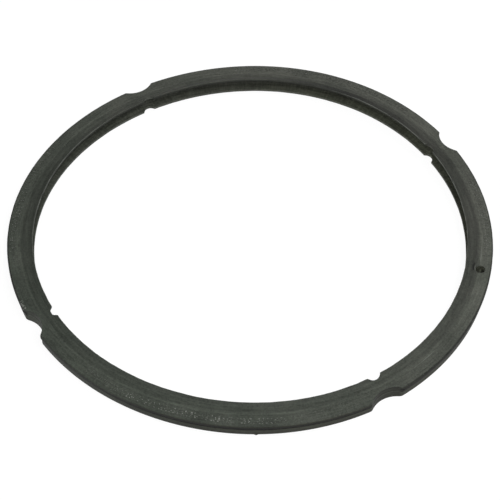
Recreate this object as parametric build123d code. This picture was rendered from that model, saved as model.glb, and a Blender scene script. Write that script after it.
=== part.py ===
"""Lid sealing ring of a stovetop pressure cooker: one rubber moulding, in millimetres.

The ring lies flat, as it does on a table, with its axis on +Z and its origin at the
centre of its underside. Its section is a U lying on its side, open towards the axis:
a heavy outer web, a flat lower lip and a rising upper lip. Steam in the groove between
the lips presses the upper one on the lid and the lower one on the pan's rim. Four
scallops round the outside clear the lid's inner lugs, four small ones in line with
them break both lips, and a blind hole in the web takes the lid's locating pin.
"""
from build123d import *
import os

# Driving dimensions.
outer_diameter = 235.0
lower_lip_diameter = 210.0
upper_lip_diameter = 210.0
ring_height = 8.4

# The outer wall: a foot, a narrow waist at the mould's parting line, a rounded flange.
foot_radius = outer_diameter / 2 - 0.8
foot_height = 3.4
waist_radius = outer_diameter / 2 - 1.4
waist_height = 4.1
flange_bottom = 4.9
flange_top = 6.9
flange_rounding = 0.68

# The top face: a plain outer band, then two shallow channels with a ridge between them.
band_inner = (111.9, 7.28)
outer_channel = (110.9, 7.1)
ridge = (109.5, 7.55)
inner_channel = (107.4, 7.5)

# The groove between the lips.
groove_radius = 109.6
groove_bottom = 2.0
groove_top = 5.5
lower_lip_thickness = 1.3
upper_lip_thickness = 1.2
upper_lip_land = 0.6

# Scallops: the circle that cuts each, and how far out its deepest point stays.
scallop_count = 4
first_scallop_angle = 45.0
outer_scallop_radius = 11.2
outer_scallop_floor = 113.5
outer_scallop_corner = 1.2
inner_scallop_radius = 3.4
inner_scallop_floor = 107.15
inner_scallop_corner = 0.6
plan_clearance = 0.05

# Locating hole, midway between two scallops.
hole_diameter = 4.5
hole_depth = 2.4
hole_circle_radius = 112.3
hole_angle = 0.0

outer_radius = outer_diameter / 2
lower_lip_radius = lower_lip_diameter / 2
upper_lip_radius = upper_lip_diameter / 2


def section_corners():
    """Corners of the ring's section as (radius, height, rounding), anticlockwise."""
    lip_underside = ring_height - upper_lip_thickness
    return [
        (lower_lip_radius, 0.0, 0.2),
        (foot_radius, 0.0, 0.4),
        (foot_radius, foot_height, 0.3),
        (waist_radius, waist_height, 0.3),
        (outer_radius, flange_bottom, flange_rounding),
        (outer_radius, flange_top, flange_rounding),
        (band_inner[0], band_inner[1], 1.0),
        (outer_channel[0], outer_channel[1], 1.6),
        (ridge[0], ridge[1], 1.6),
        (inner_channel[0], inner_channel[1], 2.0),
        (upper_lip_radius + upper_lip_land, ring_height, 0.2),
        (upper_lip_radius, ring_height, 0.3),
        (upper_lip_radius + 0.1, lip_underside, 0.3),
        (groove_radius, groove_top, 1.2),
        (groove_radius, groove_bottom, 1.2),
        (lower_lip_radius, lower_lip_thickness, 0.3),
    ]


def swept_ring():
    """The plain ring, before anything is cut from it."""
    corners = section_corners()
    outline = FilletPolyline(
        *[(radius, height) for radius, height, _ in corners],
        radius=[rounding for _, _, rounding in corners],
        close=True,
    )
    section = Plane.XZ * make_face(outline)
    return revolve(section, axis=Axis.Z, revolution_arc=360)


def corners_on_circle(face, radius):
    """The face's corners on a circle round the axis, without the circle's own start at Y = 0."""
    on_circle = [v for v in face.vertices() if abs(v.center().length - radius) < 0.01]
    return [v for v in on_circle if abs(v.Y) > 0.01]


def plan_shape():
    """The ring seen from above: an annulus with every scallop cut from its two edges."""
    plan = Circle(outer_radius)
    outer_centres = PolarLocations(
        outer_scallop_floor + outer_scallop_radius, scallop_count, first_scallop_angle
    )
    plan -= outer_centres * Circle(outer_scallop_radius)
    plan = fillet(corners_on_circle(plan, outer_radius), outer_scallop_corner)

    opening_radius = lower_lip_radius - plan_clearance
    opening = Circle(opening_radius)
    inner_centres = PolarLocations(
        inner_scallop_floor - inner_scallop_radius, scallop_count, first_scallop_angle
    )
    opening += inner_centres * Circle(inner_scallop_radius)
    opening = fillet(corners_on_circle(opening, opening_radius), inner_scallop_corner)
    return plan - opening


def locating_hole():
    """The cutter for the blind hole in the top of the web."""
    place = Rotation(0, 0, hole_angle) * Location((hole_circle_radius, 0, ring_height))
    depth = ring_height - band_inner[1] + hole_depth
    cutter = Cylinder(hole_diameter / 2, depth, align=(Align.CENTER, Align.CENTER, Align.MAX))
    return place * cutter


def sealing_ring():
    """The whole moulding."""
    block = extrude(plan_shape(), amount=ring_height + plan_clearance)
    ring = swept_ring() & block
    return ring - locating_hole()


os.makedirs("parts", exist_ok=True)
export_step(sealing_ring(), "parts/sealing_ring.step")
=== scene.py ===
"""Lid sealing ring of a pressure cooker, lying on a pale floor in soft studio light.

Lengths are in millimetres until they reach a mesh, a lamp or the camera, which are in metres."""

import math
import random

import bmesh
import bpy
import numpy as np
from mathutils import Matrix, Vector, noise


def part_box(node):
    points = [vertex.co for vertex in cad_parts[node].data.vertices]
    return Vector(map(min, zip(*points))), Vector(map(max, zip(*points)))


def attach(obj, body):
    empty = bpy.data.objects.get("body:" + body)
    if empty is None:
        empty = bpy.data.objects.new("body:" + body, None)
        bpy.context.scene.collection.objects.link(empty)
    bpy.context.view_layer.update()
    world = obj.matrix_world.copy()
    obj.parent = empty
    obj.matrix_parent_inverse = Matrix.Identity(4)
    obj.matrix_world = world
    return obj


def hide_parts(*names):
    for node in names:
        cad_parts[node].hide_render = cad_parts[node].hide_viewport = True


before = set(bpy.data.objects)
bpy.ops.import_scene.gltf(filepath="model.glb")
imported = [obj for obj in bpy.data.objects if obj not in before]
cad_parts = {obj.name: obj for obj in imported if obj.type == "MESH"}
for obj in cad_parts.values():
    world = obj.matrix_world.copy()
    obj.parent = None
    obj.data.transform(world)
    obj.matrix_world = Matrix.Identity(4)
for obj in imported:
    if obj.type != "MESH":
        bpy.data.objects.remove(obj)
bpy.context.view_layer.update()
low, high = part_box("sealing_ring")

MM = 0.001

# The ring's main sizes come from the frame.
OUTER_RADIUS = (high.x - low.x) / 2 / MM
HEIGHT = (high.z - low.z) / MM

# The section, as steps inwards from the outer radius and heights above the underside.
FOOT_INSET = 0.8
FOOT_HEIGHT = 3.4
WAIST_INSET = 1.4
WAIST_HEIGHT = 4.1
FLANGE_BOTTOM = 4.9
FLANGE_TOP = 6.9
FLANGE_ROUNDING = 0.68
BAND_INNER = (111.9, 7.28)
OUTER_CHANNEL = (110.9, 7.1)
RIDGE = (109.5, 7.55)
INNER_CHANNEL = (107.4, 7.5)
LIP_RADIUS = 105.0
UPPER_LIP_LAND = 0.6
UPPER_LIP_THICKNESS = 1.2
LOWER_LIP_THICKNESS = 1.3
GROOVE_RADIUS = 109.6
GROOVE_BOTTOM = 2.0
GROOVE_TOP = 5.5

# The loose ring is a little stretched, so its scallops sit up to a degree off their quarters.
SCALLOP_ANGLES = [45.2, 134.7, 224.3, 315.9]
OUTER_SCALLOP_RADIUS = [10.9, 10.7, 11.2, 12.1]
OUTER_SCALLOP_FLOOR = [113.9, 113.95, 112.9, 113.4]
OUTER_SCALLOP_CORNER = [1.25, 1.2, 2.1, 1.2]
INNER_SCALLOP_RADIUS = [3.4, 3.2, 3.2, 3.9]
INNER_SCALLOP_FLOOR = 107.15
INNER_SCALLOP_CORNER = [0.6, 0.6, 0.95, 0.7]

# How gently a scallop's wall meets the section above the waist and below it, and the parting line's relief.
WALL_ROUNDING = 0.2
FOOT_ROUNDING = 0.8
PARTING_RELIEF = 0.16

# Edges that turn more than this stay sharp.
SHARP_ANGLE = math.radians(40)

HOLE_RADIUS = 2.25
HOLE_DEPTH = 2.4
HOLE_CIRCLE = 112.3
HOLE_ANGLE = math.radians(0.95)

# Centre of the faint arcs that the rubber's flow left beside the hole, from the hole's middle.
FLOW_CENTRE = (2.9, 1.0)

# Nicks in the flange as (degrees round the ring, width in degrees, depth), and a nib of flash that stands out
# from the foot. The first three nicks lie together, in a stretch that is scuffed pale.
NICKS = [(217.6, 0.35, 0.28), (218.7, 0.25, 0.4), (219.5, 0.3, 0.25), (305.2, 0.3, 0.15)]
NIB = (285.4, 0.3, 0.5)
SCUFFED = (math.radians(-142.8), math.radians(-140.0))

# Raised marks on the band, in rows about its middle, and their groups as (first degree, last degree, pitch).
MARK_HEIGHT = 0.24
MARK_WIDTH = 0.36
MARK_MIDDLE = 114.5
MARK_ROWS = (-1.15, -0.4, 0.4, 1.15)
MARK_GROUPS = [(6.0, 30.0, 1.05), (60.0, 108.0, 1.15), (163.0, 202.0, 1.1), (244.0, 292.5, 0.95)]

# The stretch where the raised marks are palest, with painted highlights where they face the front lamps.
LIT_MARKS_STRETCH = (math.radians(-106), math.radians(-66))

# Soft rubber never lies quite round or quite flat: a three-lobed and a two-lobed wave.
LOBES = 0.46
LOBE_PHASE = math.radians(-37.8)
WARP = 0.5
WARP_PHASE = math.radians(48.3)

# The side of the ring where painted light pales the clean inner part of the top face most, and a patch of it
# on the other side.
PAINTED_LIGHT_DIRECTION = math.radians(-78)
PAINTED_LIGHT_PATCH = (math.radians(60), math.radians(168))

# The stretch of the foot that dust has paled.
PALE_FOOT = (math.radians(-134), math.radians(-108))

# The side where dry dust greys the rubber, while the other side keeps its green.
DUST_DIRECTION = math.radians(60)

# The camera looks at the ring's centre, which the photograph's framing puts above the middle of the picture.
CAMERA_AZIMUTH = math.radians(-75.73)
CAMERA_ELEVATION = math.radians(48.13)
CAMERA_DISTANCE = 7.2 * OUTER_RADIUS * MM
CAMERA_LENS = 124.66
CAMERA_SHIFT = (-0.0018, -0.0222)

# Round lamps as (name, azimuth and elevation in degrees, diameter in metres, watts). They are all the same
# distance, in metres, from the ring's centre.
LAMP_DISTANCE = 1.0
LAMPS = [
    ("key", -55, 60, 0.8, 4.6),
    ("front", -76, 48, 0.8, 2.6),
    ("left", 195, 42, 0.8, 2.4),
    ("right", 25, 44, 0.8, 2.8),
    ("back", 55, 48, 0.6, 1.5),
    ("far", 104, 22, 0.6, 1.3),
]

# The floor's width, in metres, and a hair's breadth of air that keeps the floor and the ring's lowest points
# from lying in one plane.
FLOOR_SIZE = 60
FLOOR_GAP = 0.02 * MM


def section_corners():
    """Corners of the ring's section as (radius, height, rounding), anticlockwise."""
    foot = OUTER_RADIUS - FOOT_INSET
    return [
        (LIP_RADIUS, 0.0, 0.2),
        (foot, 0.0, 0.4),
        (foot, FOOT_HEIGHT, 0.3),
        (OUTER_RADIUS - WAIST_INSET, WAIST_HEIGHT, 0.3),
        (OUTER_RADIUS, FLANGE_BOTTOM, FLANGE_ROUNDING),
        (OUTER_RADIUS, FLANGE_TOP, FLANGE_ROUNDING),
        (*BAND_INNER, 1.0),
        (*OUTER_CHANNEL, 1.6),
        (*RIDGE, 1.6),
        (*INNER_CHANNEL, 2.0),
        (LIP_RADIUS + UPPER_LIP_LAND, HEIGHT, 0.2),
        (LIP_RADIUS, HEIGHT, 0.3),
        (LIP_RADIUS + 0.1, HEIGHT - UPPER_LIP_THICKNESS, 0.3),
        (GROOVE_RADIUS, GROOVE_TOP, 1.2),
        (GROOVE_RADIUS, GROOVE_BOTTOM, 1.2),
        (LIP_RADIUS, LOWER_LIP_THICKNESS, 0.3),
    ]


# Numbers of the corners that matter to the sweep below.
FLANGE_TOP_CORNER, RIDGE_CORNER, LAND_CORNER = 5, 8, 10
TIP_CORNER, GROOVE_TOP_CORNER, GROOVE_BOTTOM_CORNER, LOWER_TIP_CORNER = 12, 13, 14, 15


def outline_spacing(height):
    """How far apart the outline's points are: close on the walls and lips, wide underneath."""
    return 2.4 if height < 0.1 else 0.62


def rounded_outline(corners, arc_step):
    """Points along a closed outline with rounded corners, and the corner that each belongs to or follows."""
    arcs = []
    for i, (x, y, rounding) in enumerate(corners):
        here = np.array([x, y])
        back = np.array(corners[i - 1][:2]) - here
        ahead = np.array(corners[(i + 1) % len(corners)][:2]) - here
        back /= np.linalg.norm(back)
        ahead /= np.linalg.norm(ahead)
        half = math.acos(np.clip(back @ ahead, -1, 1)) / 2
        start = here + back * rounding / math.tan(half)
        end = here + ahead * rounding / math.tan(half)
        centre = here + (back + ahead) / np.linalg.norm(back + ahead) * rounding / math.sin(half)
        first = start - centre
        side = end - centre
        total = math.atan2(first[0] * side[1] - first[1] * side[0], first @ side)
        steps = max(2, math.ceil(abs(total) / arc_step))
        arc = []
        for k in range(steps + 1):
            turned = total * k / steps
            cos, sin = math.cos(turned), math.sin(turned)
            arc.append(centre + np.array([first[0] * cos - first[1] * sin, first[0] * sin + first[1] * cos]))
        arcs.append(arc)
    points, owners = [], []
    for i, arc in enumerate(arcs):
        gap = arcs[(i + 1) % len(arcs)][0] - arc[-1]
        count = math.ceil(np.linalg.norm(gap) / outline_spacing(arc[-1][1]))
        points.extend(arc)
        points.extend(arc[-1] + gap * k / count for k in range(1, count))
        owners.extend([i] * (len(arc) + count - 1))
    return np.array(points), np.array(owners)


OUTLINE, OWNERS = rounded_outline(section_corners(), arc_step=math.radians(26))


def surface_height(first, last, radius):
    """The height at a radius of the stretch of outline between two corners."""
    stretch = OUTLINE[(OWNERS >= first) & (OWNERS <= last)]
    order = stretch[:, 0].argsort()
    return np.interp(radius, stretch[order, 0], stretch[order, 1])


def top_height(radius):
    """The height of the ring's top face at a radius."""
    return surface_height(FLANGE_TOP_CORNER, LAND_CORNER, radius)


def from_nearest_scallop(angles):
    """Each angle's signed distance to the nearest scallop, and that scallop's number."""
    centres = np.radians(SCALLOP_ANGLES)
    offsets = (angles[:, None] - centres + math.pi) % (2 * math.pi) - math.pi
    nearest = np.abs(offsets).argmin(1)
    return offsets[np.arange(len(angles)), nearest], nearest


def scallop_edge(offset, edge, floor, bite, corner):
    """The edge's radius at an angle from a scallop's middle.

    The edge follows the round bite, then the rounded corner beside it, and is plain beyond them."""
    outward = 1 if floor < edge else -1
    bite_centre = floor + outward * bite
    corner_centre = edge - outward * corner
    reach = bite + corner
    cosine = (bite_centre ** 2 + corner_centre ** 2 - reach ** 2) / (2 * bite_centre * corner_centre)
    corner_angle = math.acos(cosine)
    touch = np.array([corner_centre * math.cos(corner_angle), corner_centre * math.sin(corner_angle)])
    touch += (np.array([bite_centre, 0.0]) - touch) * corner / reach
    bite_end = math.atan2(touch[1], touch[0])
    a = abs(offset)
    if a <= bite_end:
        drop = math.sqrt(bite ** 2 - (bite_centre * math.sin(a)) ** 2)
        return bite_centre * math.cos(a) - outward * drop
    if a <= corner_angle:
        d = a - corner_angle
        rise = math.sqrt(corner ** 2 - (corner_centre * math.sin(d)) ** 2)
        return corner_centre * math.cos(d) + outward * rise
    return edge


def smooth_step(x, start, end):
    t = np.clip((x - start) / (end - start), 0, 1)
    return t * t * (3 - 2 * t)


def soft_min(a, b, k):
    """The smaller of a and b, rounded over k where they cross."""
    h = np.clip(0.5 + 0.5 * (b - a) / k, 0, 1)
    return b * (1 - h) + a * h - k * h * (1 - h)


def hump(x, centre, width):
    return np.exp(-(((x - centre) / width) ** 2))


def ring_angles():
    """Angles of the sweep: fine at the scallops, coarser between them."""
    fine, coarse, reach = math.radians(0.18), math.radians(0.46), math.radians(5.6)
    angles = [0.0]
    while angles[-1] < 2 * math.pi:
        offset, _ = from_nearest_scallop(np.array([angles[-1]]))
        angles.append(angles[-1] + (fine if abs(offset[0]) < reach else coarse))
    angles = np.array(angles[:-1])
    return angles * (2 * math.pi / (angles[-1] + coarse))


def ragged(angles, pitch, seed):
    """A smooth random wave round the ring, mostly between -1 and 1, with about one swing in each pitch."""
    k = OUTER_RADIUS / pitch
    return np.array([noise.noise(Vector((k * math.cos(a), k * math.sin(a), seed))) for a in angles]) * 1.6


def press_scallops(angles):
    """The outline swept round the axis, with the scallops' walls pressed into it."""
    offsets, numbers = from_nearest_scallop(angles)
    outer = np.array([
        scallop_edge(
            offset, OUTER_RADIUS, OUTER_SCALLOP_FLOOR[n], OUTER_SCALLOP_RADIUS[n], OUTER_SCALLOP_CORNER[n]
        )
        for offset, n in zip(offsets, numbers)
    ])
    inner = np.array([
        scallop_edge(
            offset, LIP_RADIUS - 0.05, INNER_SCALLOP_FLOOR, INNER_SCALLOP_RADIUS[n], INNER_SCALLOP_CORNER[n]
        )
        for offset, n in zip(offsets, numbers)
    ])
    plain_outer = 1 - smooth_step(OUTER_RADIUS - outer, 0.0, 0.5)
    plain_inner = 1 - smooth_step(inner - LIP_RADIUS, -0.05, 0.4)
    radius = np.broadcast_to(OUTLINE[:, 0], (len(angles), len(OUTLINE)))
    height = np.broadcast_to(OUTLINE[:, 1], radius.shape)

    # A mould's parting line runs round the walls of the outer scallops, level with the waist.
    cut = smooth_step(OUTER_RADIUS - outer, 1.2, 2.0)
    parting = PARTING_RELIEF * cut[:, None] * hump(height, WAIST_HEIGHT, 0.22)
    limit = (outer + WALL_ROUNDING * plain_outer)[:, None] + parting
    radius = soft_min(radius, limit, np.where(OUTLINE[:, 1] < WAIST_HEIGHT, FOOT_ROUNDING, WALL_ROUNDING))
    limit = (inner - WALL_ROUNDING * plain_inner)[:, None]
    radius = -soft_min(-radius, -limit, WALL_ROUNDING)

    # A lip is cut off at an inner scallop, so nothing there stands above or below what is left of it.
    edge = inner - 0.3
    top = surface_height(RIDGE_CORNER, LAND_CORNER, edge)[:, None]
    underside = surface_height(TIP_CORNER, GROOVE_TOP_CORNER, edge)[:, None]
    lower_top = surface_height(GROOVE_BOTTOM_CORNER, LOWER_TIP_CORNER, edge)[:, None]
    bitten = smooth_step(inner - LIP_RADIUS, 0.1, 0.6)[:, None]
    tip = (OWNERS > RIDGE_CORNER) & (OWNERS <= GROOVE_TOP_CORNER)
    groove_floor = (OWNERS == GROOVE_BOTTOM_CORNER) & (OUTLINE[:, 0] < GROOVE_RADIUS - 1.3)
    lower_tip = (OWNERS == LOWER_TIP_CORNER) | groove_floor
    cut_tip = np.clip(height, underside, top)
    cut_lower = np.clip(height, 0, lower_top)
    height = np.where(tip, height + (cut_tip - height) * bitten, height)
    height = np.where(lower_tip, height + (cut_lower - height) * bitten, height)
    return radius, height


def wear_edges(angles, radius, height):
    """Small faults of trimming and handling: uneven lips, a ragged flange, nicks and a nib of flash."""
    radius = radius.copy()
    height = height.copy()
    tip = hump(OUTLINE[:, 0], LIP_RADIUS, 0.7)
    upper = tip * (OUTLINE[:, 1] > GROOVE_TOP)
    lower = tip * (OUTLINE[:, 1] < GROOVE_BOTTOM)
    radius += upper * (0.07 * ragged(angles, 5, 1.3) + 0.04 * ragged(angles, 1.6, 4.1))[:, None]
    height += upper * (0.06 * ragged(angles, 7, 8.7))[:, None]
    radius += lower * (0.05 * ragged(angles, 6, 2.9))[:, None]
    flange = hump(OUTLINE[:, 1], 6.3, 0.7) * (OUTLINE[:, 0] > OUTER_RADIUS - 0.9)
    radius += flange * (0.04 * ragged(angles, 3, 6.2))[:, None]
    degrees = np.degrees(angles)
    for angle, width, depth in NICKS:
        radius -= flange * (depth * hump(degrees, angle, width))[:, None]
    foot = hump(OUTLINE[:, 1], 0.3, 0.5) * (OUTLINE[:, 0] > OUTER_RADIUS - 1.4)
    angle, width, reach = NIB
    radius += foot * (reach * hump(degrees, angle, width))[:, None]
    return radius, height


def lay_down(angles, radius, height):
    """Points in metres of the ring as it lies: a little out of round, and a little out of flat."""
    radius = radius * (1 + LOBES / OUTER_RADIUS * np.cos(3 * (angles - LOBE_PHASE)))
    height = height + WARP * (1 + np.cos(2 * (angles - WARP_PHASE)))
    return np.stack([radius * np.cos(angles), radius * np.sin(angles), height], -1) * MM


def ring_mesh():
    angles = ring_angles()
    radius, height = wear_edges(angles, *press_scallops(angles))
    turns = np.broadcast_to(angles[:, None], radius.shape)
    points = lay_down(turns, radius, height).reshape(-1, 3)
    rows, columns = radius.shape
    j, i = np.meshgrid(np.arange(rows), np.arange(columns), indexing="ij")
    next_j, next_i = (j + 1) % rows, (i + 1) % columns
    corners = [j * columns + i, j * columns + next_i, next_j * columns + next_i, next_j * columns + i]
    mesh = bpy.data.meshes.new("sealing_ring_detail")
    mesh.from_pydata(points.tolist(), [], np.stack(corners, -1).reshape(-1, 4).tolist())
    bm = bmesh.new()
    bm.from_mesh(mesh)
    bmesh.ops.remove_doubles(bm, verts=bm.verts, dist=0.001 * MM)
    bmesh.ops.recalc_face_normals(bm, faces=bm.faces)
    bm.to_mesh(mesh)
    bm.free()
    return mesh


def hole_mouth():
    """Where the hole's axis meets the top face, in metres."""
    return lay_down(np.array(HOLE_ANGLE), np.array(HOLE_CIRCLE), np.array(BAND_INNER[1]))


def drill(ring):
    """The blind locating hole."""
    bm = bmesh.new()
    bmesh.ops.create_cone(bm, cap_ends=True, segments=48, radius1=HOLE_RADIUS * MM, radius2=HOLE_RADIUS * MM,
                          depth=2 * HOLE_DEPTH * MM)
    bmesh.ops.translate(bm, verts=bm.verts, vec=hole_mouth())
    mesh = bpy.data.meshes.new("hole_cutter")
    bm.to_mesh(mesh)
    bm.free()
    cutter = bpy.data.objects.new("hole_cutter", mesh)
    bpy.context.scene.collection.objects.link(cutter)
    cut = ring.modifiers.new("hole", "BOOLEAN")
    cut.operation = "DIFFERENCE"
    cut.solver = "EXACT"
    cut.object = cutter
    depsgraph = bpy.context.evaluated_depsgraph_get()
    mesh = bpy.data.meshes.new_from_object(ring.evaluated_get(depsgraph))
    ring.modifiers.clear()
    ring.data = mesh
    bpy.data.objects.remove(cutter)


def ribbon(bm, path, width):
    """A low raised bar along a path of (degrees, radius) points on the top face.

    Its profile, with sloping sides, is in shares of its width and of a mark's height."""
    flat = np.array([(math.radians(a) * HOLE_CIRCLE, r) for a, r in path])
    profile = [(-0.5, -0.12), (-0.34, 1.0), (0.34, 1.0), (0.5, -0.12)]
    rings = []
    for k in range(len(path)):
        ahead = flat[min(k + 1, len(path) - 1)]
        behind = flat[max(k - 1, 0)]
        along = (ahead - behind) / np.linalg.norm(ahead - behind)
        across = np.array([-along[1], along[0]])
        loop = []
        for side, lift in profile:
            spot = flat[k] + across * side * width
            lifted = top_height(spot[1]) + MARK_HEIGHT * lift
            place = lay_down(np.array(spot[0] / HOLE_CIRCLE), np.array(spot[1]), np.array(lifted))
            loop.append(bm.verts.new(place))
        rings.append(loop)
    for a, b in zip(rings, rings[1:]):
        for m in range(4):
            bm.faces.new((a[m], a[(m + 1) % 4], b[(m + 1) % 4], b[m]))
    bm.faces.new(rings[0])
    bm.faces.new(rings[-1][::-1])


def stroke_cell(bm, angle, draw):
    """A small cluster of plain raised strokes on the band, one in each row or none."""
    degrees_per_mm = math.degrees(1 / HOLE_CIRCLE)
    for row in MARK_ROWS:
        if draw.random() < 0.15:
            continue
        length = draw.uniform(0.22, 0.62)
        lean = draw.choice((0.0, 0.0, math.pi / 2, 0.9, -0.9))
        middle = draw.uniform(-0.55, 0.55)
        along, out = length * math.cos(lean), length * math.sin(lean)
        ribbon(bm, [
            (angle + (middle - along) * degrees_per_mm, MARK_MIDDLE + row - out / 2),
            (angle + (middle + along) * degrees_per_mm, MARK_MIDDLE + row + out / 2),
        ], MARK_WIDTH)


def build_marks(material):
    """Four groups of plain raised strokes on the band."""
    draw = random.Random(5)
    bm = bmesh.new()
    for start, end, pitch in MARK_GROUPS:
        angle = start
        while angle < end:
            stroke_cell(bm, angle, draw)
            angle += pitch * draw.uniform(0.88, 1.12)
    bmesh.ops.recalc_face_normals(bm, faces=bm.faces)
    mesh = bpy.data.meshes.new("raised_marks")
    bm.to_mesh(mesh)
    bm.free()
    mesh.materials.append(material)
    marks = bpy.data.objects.new("raised_marks", mesh)
    bpy.context.scene.collection.objects.link(marks)
    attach(marks, "root")


class Graph:
    """A short way to wire a material's value nodes."""

    def __init__(self, material):
        material.use_nodes = True
        self.nodes = material.node_tree.nodes
        self.links = material.node_tree.links
        self.shader = self.nodes["Principled BSDF"]

    def plug(self, value, socket):
        if isinstance(value, bpy.types.NodeSocket):
            self.links.new(value, socket)
        else:
            socket.default_value = value

    def math(self, operation, *values, clamp=False):
        node = self.nodes.new("ShaderNodeMath")
        node.operation = operation
        node.use_clamp = clamp
        for value, socket in zip(values, node.inputs):
            self.plug(value, socket)
        return node.outputs[0]

    def product(self, *values):
        total = values[0]
        for value in values[1:]:
            total = self.math("MULTIPLY", total, value)
        return total

    def total(self, *values):
        result = values[0]
        for value in values[1:]:
            result = self.math("ADD", result, value)
        return result

    def inverse(self, mask):
        return self.math("SUBTRACT", 1.0, mask)

    def gain(self, mask, amount):
        """One plus the amount where the mask is one, and one where it is nought."""
        return self.math("MULTIPLY_ADD", mask, amount, 1.0)

    def vector(self, x, y, z):
        node = self.nodes.new("ShaderNodeCombineXYZ")
        for value, socket in zip((x, y, z), node.inputs):
            self.plug(value, socket)
        return node.outputs[0]

    def noise(self, vector, scale, detail, w=None, roughness=0.5):
        node = self.nodes.new("ShaderNodeTexNoise")
        if w is not None:
            node.noise_dimensions = "4D"
            self.plug(w, node.inputs["W"])
        self.plug(vector, node.inputs["Vector"])
        node.inputs["Scale"].default_value = scale
        node.inputs["Detail"].default_value = detail
        node.inputs["Roughness"].default_value = roughness
        return node.outputs["Fac"]

    def remap(self, value, old, new, smooth=True):
        """The value, with the range old stretched to the range new and held at its ends."""
        node = self.nodes.new("ShaderNodeMapRange")
        node.interpolation_type = "SMOOTHSTEP" if smooth else "LINEAR"
        self.plug(value, node.inputs["Value"])
        for name, number in zip(("From Min", "From Max", "To Min", "To Max"), (*old, *new)):
            node.inputs[name].default_value = number
        return node.outputs["Result"]

    def swing(self, value, amount):
        """A noise value, spread out to lie mostly between minus and plus the amount."""
        return self.remap(value, (0.3, 0.7), (-amount, amount), smooth=False)

    def between(self, value, start, end, soft):
        """One where the value lies between start and end, fading to nought over soft."""
        rise = self.remap(value, (start - soft, start + soft), (0, 1))
        fall = self.remap(value, (end - soft, end + soft), (1, 0))
        return self.product(rise, fall)

    def blend(self, fac, a, b):
        """Colour a where fac is nought, b where it is one."""
        node = self.nodes.new("ShaderNodeMix")
        node.data_type = "RGBA"
        self.plug(fac, node.inputs["Factor"])
        self.plug(a, node.inputs["A"])
        self.plug(b, node.inputs["B"])
        return node.outputs["Result"]

    def mix(self, fac, a, b):
        """Number a where fac is nought, b where it is one."""
        node = self.nodes.new("ShaderNodeMix")
        self.plug(fac, node.inputs["Factor"])
        self.plug(a, node.inputs["A"])
        self.plug(b, node.inputs["B"])
        return node.outputs["Result"]

    def ramp(self, value, stops, start, end):
        """A number that goes through stops of (value, number), all of them between start and end."""
        node = self.nodes.new("ShaderNodeValToRGB")
        elements = node.color_ramp.elements
        while len(elements) < len(stops):
            elements.new(0.5)
        for element, (position, number) in zip(elements, stops):
            element.position = (position - start) / (end - start)
            element.color = (number / 2, number / 2, number / 2, 1)
        self.plug(self.remap(value, (start, end), (0, 1), smooth=False), node.inputs["Fac"])
        return self.product(node.outputs["Color"], 2.0)

    def distance(self, x, y):
        """The length of a plane offset."""
        return self.math("SQRT", self.total(self.product(x, x), self.product(y, y)))

    def split(self, vector):
        node = self.nodes.new("ShaderNodeSeparateXYZ")
        self.plug(vector, node.inputs[0])
        return list(node.outputs)

    def scaled(self, colour, factor):
        node = self.nodes.new("ShaderNodeVectorMath")
        node.operation = "SCALE"
        self.plug(colour, node.inputs[0])
        self.plug(factor, node.inputs["Scale"])
        return node.outputs[0]


class RingGraph(Graph):
    """A graph that knows where each point lies on the relaxed ring, and which face it is on."""

    def __init__(self, material):
        super().__init__(material)
        coordinates = self.nodes.new("ShaderNodeTexCoord")
        self.find_place(coordinates.outputs["Object"])
        self.find_faces(coordinates.outputs["Normal"])
        self.add_noises()

    def find_place(self, metres):
        """The place in millimetres, the direction round the axis, and the radius and height when relaxed."""
        self.place = self.scaled(metres, 1 / MM)
        x, y, z = self.split(self.place)
        self.turn = self.math("ARCTAN2", y, x)
        self.east_side = self.math("COSINE", self.turn)
        self.north_side = self.math("SINE", self.turn)
        lobes = self.math("COSINE", self.product(self.math("SUBTRACT", self.turn, LOBE_PHASE), 3.0))
        stretch = self.math("MULTIPLY_ADD", lobes, LOBES / OUTER_RADIUS, 1.0)
        self.radius = self.math("DIVIDE", self.distance(x, y), stretch)
        warp = self.math("COSINE", self.product(self.math("SUBTRACT", self.turn, WARP_PHASE), 2.0))
        self.height = self.math("SUBTRACT", z, self.math("MULTIPLY_ADD", warp, WARP, WARP))

    def find_faces(self, normal):
        """Masks of the walls, the top face and its dusty outer band, and the groove between the lips."""
        level = self.math("ABSOLUTE", self.split(normal)[2])
        upright = self.remap(level, (0.35, 0.7), (1, 0))
        inner_wall = self.product(upright, self.remap(self.radius, (105.3, 105.6), (1, 0)))
        self.outside = self.remap(self.radius, (112.3, 112.9), (0, 1))
        self.scallop_wall = self.product(
            upright, self.remap(self.radius, (115.6, 116.6), (1, 0)), self.outside
        )
        self.on_top = self.product(
            self.remap(self.height, (6.45, 6.85), (0, 1)),
            self.inverse(self.scallop_wall),
            self.inverse(inner_wall),
        )
        self.band = self.product(self.on_top, self.remap(self.radius, (110.9, 111.8), (0, 1)))
        self.recess = self.product(
            self.between(self.height, 0.9, 7.25, 0.2),
            self.remap(self.radius, (109.7, 110.0), (1, 0)),
        )
        self.dusty_side = self.math("COSINE", self.math("SUBTRACT", self.turn, DUST_DIRECTION))

    def streaky(self, count, across, upward, detail):
        """Noise with count cells to a radian round the ring, and across and upward cells to a millimetre."""
        east = self.product(self.east_side, count)
        north = self.product(self.north_side, count)
        place = self.vector(east, north, self.product(self.radius, across))
        return self.noise(place, 1.0, detail, w=self.product(self.height, upward))

    def add_noises(self):
        """Streaks that run round the ring, blotches, grain, specks, and the upright ribs of the groove."""
        self.streaks = self.streaky(7.0, 1.2, 1.3, detail=2.0)
        self.fine_streaks = self.streaky(20.0, 2.8, 2.8, detail=1.0)
        self.blotches = self.noise(self.place, 0.06, 3.0)
        self.grain = self.noise(self.place, 0.95, 3.0, roughness=0.7)
        self.specks = self.noise(self.place, 1.7, 1.0)
        self.striations = self.streaky(150.0, 0.10, 0.25, detail=1.0)


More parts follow.
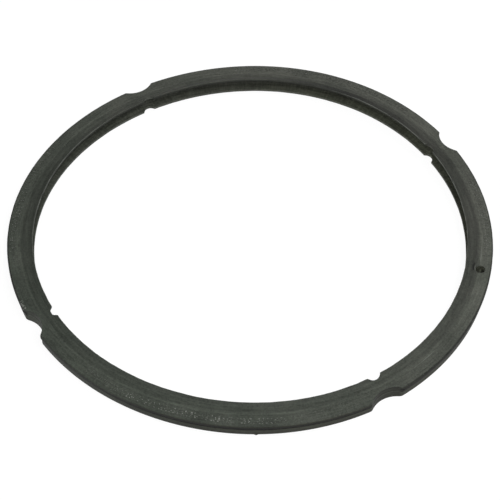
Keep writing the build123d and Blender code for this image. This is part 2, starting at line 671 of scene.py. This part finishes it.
def mottle(g):
    """The unevenness that all faces share."""
    return g.total(
        1.0,
        g.swing(g.streaks, 0.20),
        g.swing(g.fine_streaks, 0.12),
        g.swing(g.blotches, 0.18),
        g.swing(g.grain, 0.31),
    )


def section_tone_and_shade(g):
    """How light each strip of the section is, on the top face, the outer walls and the walls inside, with
    painted shade on the outer walls and in the groove.
    """
    top_tone = g.ramp(g.radius, [
        (105.5, 0.92), (105.85, 0.88), (106.5, 0.90), (107.4, 0.98), (108.6, 0.92), (109.6, 0.86),
        (110.4, 1.00), (110.9, 1.22), (111.6, 1.30), (116.6, 1.30), (117.3, 1.05),
    ], LIP_RADIUS, OUTER_RADIUS)
    # Painted shade: the outer walls are darkened, most in the waist's crease and under the flange.
    painted_wall_shade = g.ramp(g.height, [
        (0.0, 0.72), (3.25, 0.90), (3.5, 0.30), (4.6, 0.08), (5.7, 0.14), (6.15, 0.50), (6.6, 0.90),
    ], 0.0, 8.0)
    # Painted shade: the scallops' walls are darkened, most at their tops under the flange's edge.
    painted_scallop_shade = g.ramp(g.height, [
        (0.0, 0.55), (3.6, 0.62), (4.5, 0.50), (6.3, 0.55), (6.8, 0.22),
    ], 0.0, 8.0)
    # Painted shade: the groove's walls are darkened the higher they run under the upper lip.
    painted_groove_shade = g.ramp(g.height, [
        (0.0, 0.95), (1.3, 0.95), (2.0, 0.75), (5.2, 0.55), (6.8, 0.36),
    ], 0.0, 8.0)
    painted_wall_shade = g.mix(g.scallop_wall, painted_wall_shade, painted_scallop_shade)
    return g.mix(g.on_top, g.mix(g.outside, painted_groove_shade, painted_wall_shade), top_tone)


def inner_top_painted_light(g):
    """Painted light and shade on the clean inner part of the top face: paler on the side where its slopes
    turn to the lamps and in a patch on the far side, darker on the rest of the far side.
    """
    side = g.math("COSINE", g.math("SUBTRACT", g.turn, PAINTED_LIGHT_DIRECTION))
    inner_share = g.remap(g.east_side, (-0.4, 0.3), (0.8, -0.6))
    share = g.mix(g.remap(g.radius, (107.6, 108.8), (0, 1)), inner_share, 1.0)
    patch = g.product(g.between(g.turn, *PAINTED_LIGHT_PATCH, math.radians(25)), share)
    painted_light = g.product(g.on_top, g.inverse(g.band), g.math("MULTIPLY_ADD", patch, 1.5, side))
    return g.gain(painted_light, 0.34)


def dust_and_painted_shade_tone(g):
    """Dust, which lies more on some sides and faces than on others, with painted shade on the flange's edge
    and painted light on one scallop's walls.
    """
    # Painted shade: the flange's outer edge is darkened on every side but the front.
    painted_flange_shadow = g.product(
        g.remap(g.radius, (116.5, 117.2), (0, 1)),
        g.remap(g.height, (4.6, 5.0), (0, 1)),
        g.remap(g.north_side, (-0.85, -0.5), (0, 1)),
    )
    pale_foot = g.product(
        g.outside,
        g.remap(g.height, (3.2, 3.6), (1, 0)),
        g.between(g.turn, *PALE_FOOT, math.radians(9)),
    )
    # Painted light: the walls of the front-left scallop, which face the lamps, are made paler.
    painted_lit_scallop_wall = g.product(
        g.scallop_wall,
        g.remap(g.east_side, (-0.5, 0.0), (1, 0)),
        g.remap(g.north_side, (-0.5, 0.0), (1, 0)),
    )
    return g.product(
        g.math("MULTIPLY_ADD", g.dusty_side, 0.12, 0.88),
        g.gain(painted_flange_shadow, -0.6),
        g.gain(pale_foot, 0.3),
        g.gain(painted_lit_scallop_wall, 0.7),
    )


def groove_ribs_and_painted_light(g):
    """Fine ribs in the groove between the lips, and painted light that pales the groove more the deeper it
    reaches, most on the east side.
    """
    eastern = g.remap(g.east_side, (0.0, 0.7), (0, 1))
    # Painted light: the groove is paled more the deeper it reaches under the upper lip, most on the east
    # side.
    dust = g.total(
        g.remap(g.radius, (105.2, 107.6), (0.15, 0.45)),
        g.product(g.remap(g.radius, (105.4, 108.4), (-0.15, 0.55)), eastern),
    )
    ribs = g.remap(g.striations, (0.36, 0.64), (-1, 1))
    return g.product(g.gain(g.product(g.recess, ribs), 0.14), g.gain(g.recess, dust))


def from_hole(g):
    """How far each point is east and north of the hole's middle."""
    x, y = g.split(g.place)[:2]
    east, north = hole_mouth()[:2] / MM
    return g.math("SUBTRACT", x, east), g.math("SUBTRACT", y, north)


def flow_arc(g, reach, width):
    """An arc that the rubber's flow left beside the hole, on the side of the ring's axis.

    The reach is (start, end, softness) northwards, and the width is that outwards from the flow's centre."""
    east, north = from_hole(g)
    from_flow = g.distance(
        g.math("SUBTRACT", east, FLOW_CENTRE[0]),
        g.math("SUBTRACT", north, FLOW_CENTRE[1]),
    )
    axis_side = g.product(g.on_top, g.remap(east, (-1.6, -0.6), (1, 0)))
    return g.product(axis_side, g.between(north, *reach), g.between(from_flow, *width))


def hole_tone_and_painted_light(g):
    """The blind hole with painted light on its pale wall and floor, a painted shadow on its floor away from
    the far wall, a dark edge, painted shade in the dark arc beside it, and the dust around.
    """
    east, north = from_hole(g)
    distance = g.distance(east, north)
    inside = g.remap(distance, (HOLE_RADIUS - 0.1, HOLE_RADIUS + 0.1), (1, 0))
    floor_height = BAND_INNER[1] - HOLE_DEPTH
    wall = g.product(inside, g.remap(g.height, (floor_height + 0.1, floor_height + 0.4), (0, 1)))
    floor = g.math("SUBTRACT", inside, wall)
    # Painted shadow: the floor is darkened except beside the far wall, and more near its edge.
    painted_floor_shadow = g.product(floor, g.total(
        g.remap(distance, (HOLE_RADIUS - 0.55, HOLE_RADIUS - 0.3), (0, 0.4)),
        g.remap(north, (0.7, 1.1), (1, 0)),
    ))
    edge = g.product(g.on_top, g.between(distance, HOLE_RADIUS - 0.1, HOLE_RADIUS + 0.2, 0.12))
    around = g.product(g.on_top, g.remap(distance, (12, 48), (1, 0)))
    return g.product(
        # Painted shade: the dark arc beside the hole stands for the shade in a shallow groove.
        g.gain(flow_arc(g, (-1.6, 3.0, 0.5), (5.95, 6.75, 0.2)), -0.75),
        g.gain(edge, -0.5),
        # Painted light: the hole's wall is paled, and its floor paled more towards the east, to stand for the
        # lamps' light in it.
        g.gain(wall, 5.2),
        g.gain(floor, g.remap(east, (-1.0, 0.8), (0.4, 4.6))),
        g.math("MULTIPLY_ADD", painted_floor_shadow, -0.5, 1.0, clamp=True),
        g.gain(around, g.mix(g.band, -0.10, 0.24)),
    )


def rubber_tint(g):
    """The green of clean rubber, the grey of dusty rubber, and the warmer walls."""
    grey = g.total(0.5, g.product(g.dusty_side, 0.5), g.swing(g.blotches, 0.25))
    tint = g.blend(grey, (0.0450, 0.0525, 0.0415, 1), (0.0505, 0.0525, 0.0440, 1))
    shaded = g.product(g.inverse(g.on_top), g.remap(g.east_side, (-0.6, 0.3), (0.35, 1)))
    return g.blend(shaded, tint, (0.0490, 0.0525, 0.0385, 1))


def add_dust(g, colour):
    """Specks of dust on the top face, most of them on the band."""
    dust = g.product(
        g.on_top,
        g.remap(g.specks, (0.58, 0.76), (0, 1)),
        g.math("MULTIPLY_ADD", g.band, 0.7, 0.3),
        g.remap(g.blotches, (0.3, 0.7), (0.2, 1.0)),
    )
    return g.blend(g.product(dust, 0.6), colour, (0.125, 0.135, 0.118, 1))


def add_wear_and_highlights(g, colour):
    """Pale marks: the parting line, a pale arc on the hole's rim and a scuffed stretch, with painted
    highlights on the lips' edges and along the band's inner edge.
    """
    # Painted highlight: a thin pale line along the upper lip's edge, on the east side and at the far west.
    tip = g.product(
        g.remap(g.height, (7.95, 8.1), (0, 1)),
        g.remap(g.radius, (105.12, 105.3), (1, 0)),
        g.total(g.remap(g.east_side, (0.05, 0.35), (0, 1)), g.remap(g.east_side, (-0.97, -0.8), (1, 0.15))),
    )
    # Painted light: the lower lip's edge is paled a little.
    lower_tip = g.product(g.between(g.height, 0.3, 1.25, 0.1), g.remap(g.radius, (105.15, 105.4), (1, 0)))
    parting = g.product(g.scallop_wall, g.between(g.height, 3.95, 4.25, 0.08))
    hole_rim = flow_arc(g, (-1.2, 1.6, 0.4), (5.38, 5.78, 0.12))
    # Painted highlight: a thin pale line along the band's inner edge, in two short stretches.
    painted_band_edge_highlight = g.product(
        g.on_top,
        g.between(g.radius, 111.75, 112.0, 0.1),
        g.total(g.between(g.turn, 0.06, 0.14, 0.03), g.between(g.turn, -0.62, -0.49, 0.03)),
    )
    scuffs = g.product(
        g.on_top,
        g.remap(g.radius, (115.4, 116.2), (0, 1)),
        g.between(g.turn, *SCUFFED, math.radians(0.2)),
        g.remap(g.specks, (0.45, 0.6), (0, 2)),
    )
    worn_and_highlights = g.total(
        g.product(tip, 1.1),
        g.product(lower_tip, 0.2),
        g.product(parting, 0.6),
        g.product(hole_rim, 0.7),
        g.product(painted_band_edge_highlight, 1.3),
        scuffs,
    )
    worn_and_highlights = g.product(worn_and_highlights, g.remap(g.fine_streaks, (0.30, 0.60), (0.25, 1)))
    return g.blend(g.product(worn_and_highlights, 0.6), colour, (0.16, 0.17, 0.15, 1))


def add_mark_dust_and_highlights(g, colour):
    """Dust caught on the raised marks, with painted highlights that are strongest on the stretch facing the
    front lamps.
    """
    lit_stretch = g.between(g.turn, *LIT_MARKS_STRETCH, math.radians(3))
    # Dust and painted highlights together pale the raised marks.
    dust = g.product(
        g.remap(g.noise(g.place, 0.3, 1.0), (0.42, 0.64), (0.5, 1.0)),
        g.remap(g.noise(g.place, 1.1, 2.0), (0.40, 0.60), (0.3, 1.0)),
        g.math("MULTIPLY_ADD", lit_stretch, 0.5, 0.5),
    )
    return g.blend(dust, colour, (0.26, 0.27, 0.245, 1))


def add_relief(g):
    """A slight unevenness of the skin, with the groove's ribs in it."""
    relief = g.total(
        g.product(g.streaks, 0.35),
        g.product(g.fine_streaks, 0.25),
        g.product(g.grain, 0.55),
        g.product(g.recess, g.striations, 0.35),
    )
    bump = g.nodes.new("ShaderNodeBump")
    bump.inputs["Strength"].default_value = 1.0
    bump.inputs["Distance"].default_value = 0.05 * MM
    g.plug(relief, bump.inputs["Height"])
    g.plug(bump.outputs["Normal"], g.shader.inputs["Normal"])


def rubber(name, raised):
    """The moulded rubber of the ring, or of the raised marks on it."""
    material = bpy.data.materials.new(name)
    g = RingGraph(material)
    tone = g.product(mottle(g), section_tone_and_shade(g), inner_top_painted_light(g), dust_and_painted_shade_tone(g), groove_ribs_and_painted_light(g), hole_tone_and_painted_light(g))
    colour = add_wear_and_highlights(g, add_dust(g, g.scaled(rubber_tint(g), tone)))
    if raised:
        colour = add_mark_dust_and_highlights(g, colour)
    g.plug(colour, g.shader.inputs["Base Color"])
    roughness = g.total(0.50, g.product(g.grain, 0.16), g.product(g.streaks, 0.10))
    g.plug(roughness, g.shader.inputs["Roughness"])
    g.shader.inputs["Specular IOR Level"].default_value = 0.22
    add_relief(g)
    return material


def build_ring(material):
    ring = bpy.data.objects.new("sealing_ring_rubber", ring_mesh())
    bpy.context.scene.collection.objects.link(ring)
    drill(ring)
    ring.data.shade_smooth()
    ring.data.set_sharp_from_angle(angle=SHARP_ANGLE)
    ring.data.materials.clear()
    ring.data.materials.append(material)
    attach(ring, "root")
    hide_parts("sealing_ring")


def build_floor():
    bpy.ops.mesh.primitive_plane_add(size=FLOOR_SIZE, location=(0, 0, -FLOOR_GAP))
    floor = bpy.context.object
    floor.name = "floor"
    material = bpy.data.materials.new("floor")
    material.use_nodes = True
    shader = material.node_tree.nodes["Principled BSDF"]
    shader.inputs["Base Color"].default_value = (0.14, 0.14, 0.14, 1)
    shader.inputs["Roughness"].default_value = 0.9
    shader.inputs["Specular IOR Level"].default_value = 0.0
    shader.inputs["Emission Color"].default_value = (1, 1, 1, 1)
    shader.inputs["Emission Strength"].default_value = 0.90
    floor.data.materials.append(material)


def from_centre(azimuth, elevation, distance):
    """A place seen from the ring's centre at an azimuth and elevation in radians."""
    level = math.cos(elevation)
    return Vector((math.cos(azimuth) * level, math.sin(azimuth) * level, math.sin(elevation))) * distance


def area_light(name, azimuth, elevation, size, power):
    light = bpy.data.lights.new(name, "AREA")
    light.shape = "DISK"
    light.size = size
    light.energy = power
    lamp = bpy.data.objects.new(name, light)
    place = from_centre(math.radians(azimuth), math.radians(elevation), LAMP_DISTANCE)
    lamp.location = place
    lamp.rotation_euler = (-place).to_track_quat("-Z", "Y").to_euler()
    bpy.context.scene.collection.objects.link(lamp)


def build_lights():
    world = bpy.data.worlds.new("studio")
    world.use_nodes = True
    background = world.node_tree.nodes["Background"]
    background.inputs["Color"].default_value = (1, 1, 1, 1)
    background.inputs["Strength"].default_value = 0.02
    bpy.context.scene.world = world
    for lamp in LAMPS:
        area_light(*lamp)


def build_camera():
    camera_data = bpy.data.cameras.new("camera")
    camera_data.sensor_width = 36
    camera_data.lens = CAMERA_LENS
    camera_data.shift_x, camera_data.shift_y = CAMERA_SHIFT
    camera = bpy.data.objects.new("camera", camera_data)
    place = from_centre(CAMERA_AZIMUTH, CAMERA_ELEVATION, CAMERA_DISTANCE)
    camera.location = place + Vector((0, 0, WARP * MM))
    camera.rotation_euler = (-place).to_track_quat("-Z", "Y").to_euler()
    bpy.context.scene.collection.objects.link(camera)
    bpy.context.scene.camera = camera


bpy.context.scene.view_settings.view_transform = "Standard"
build_camera()
build_ring(rubber("rubber", raised=False))
build_marks(rubber("rubber_raised", raised=True))
build_floor()
build_lights()
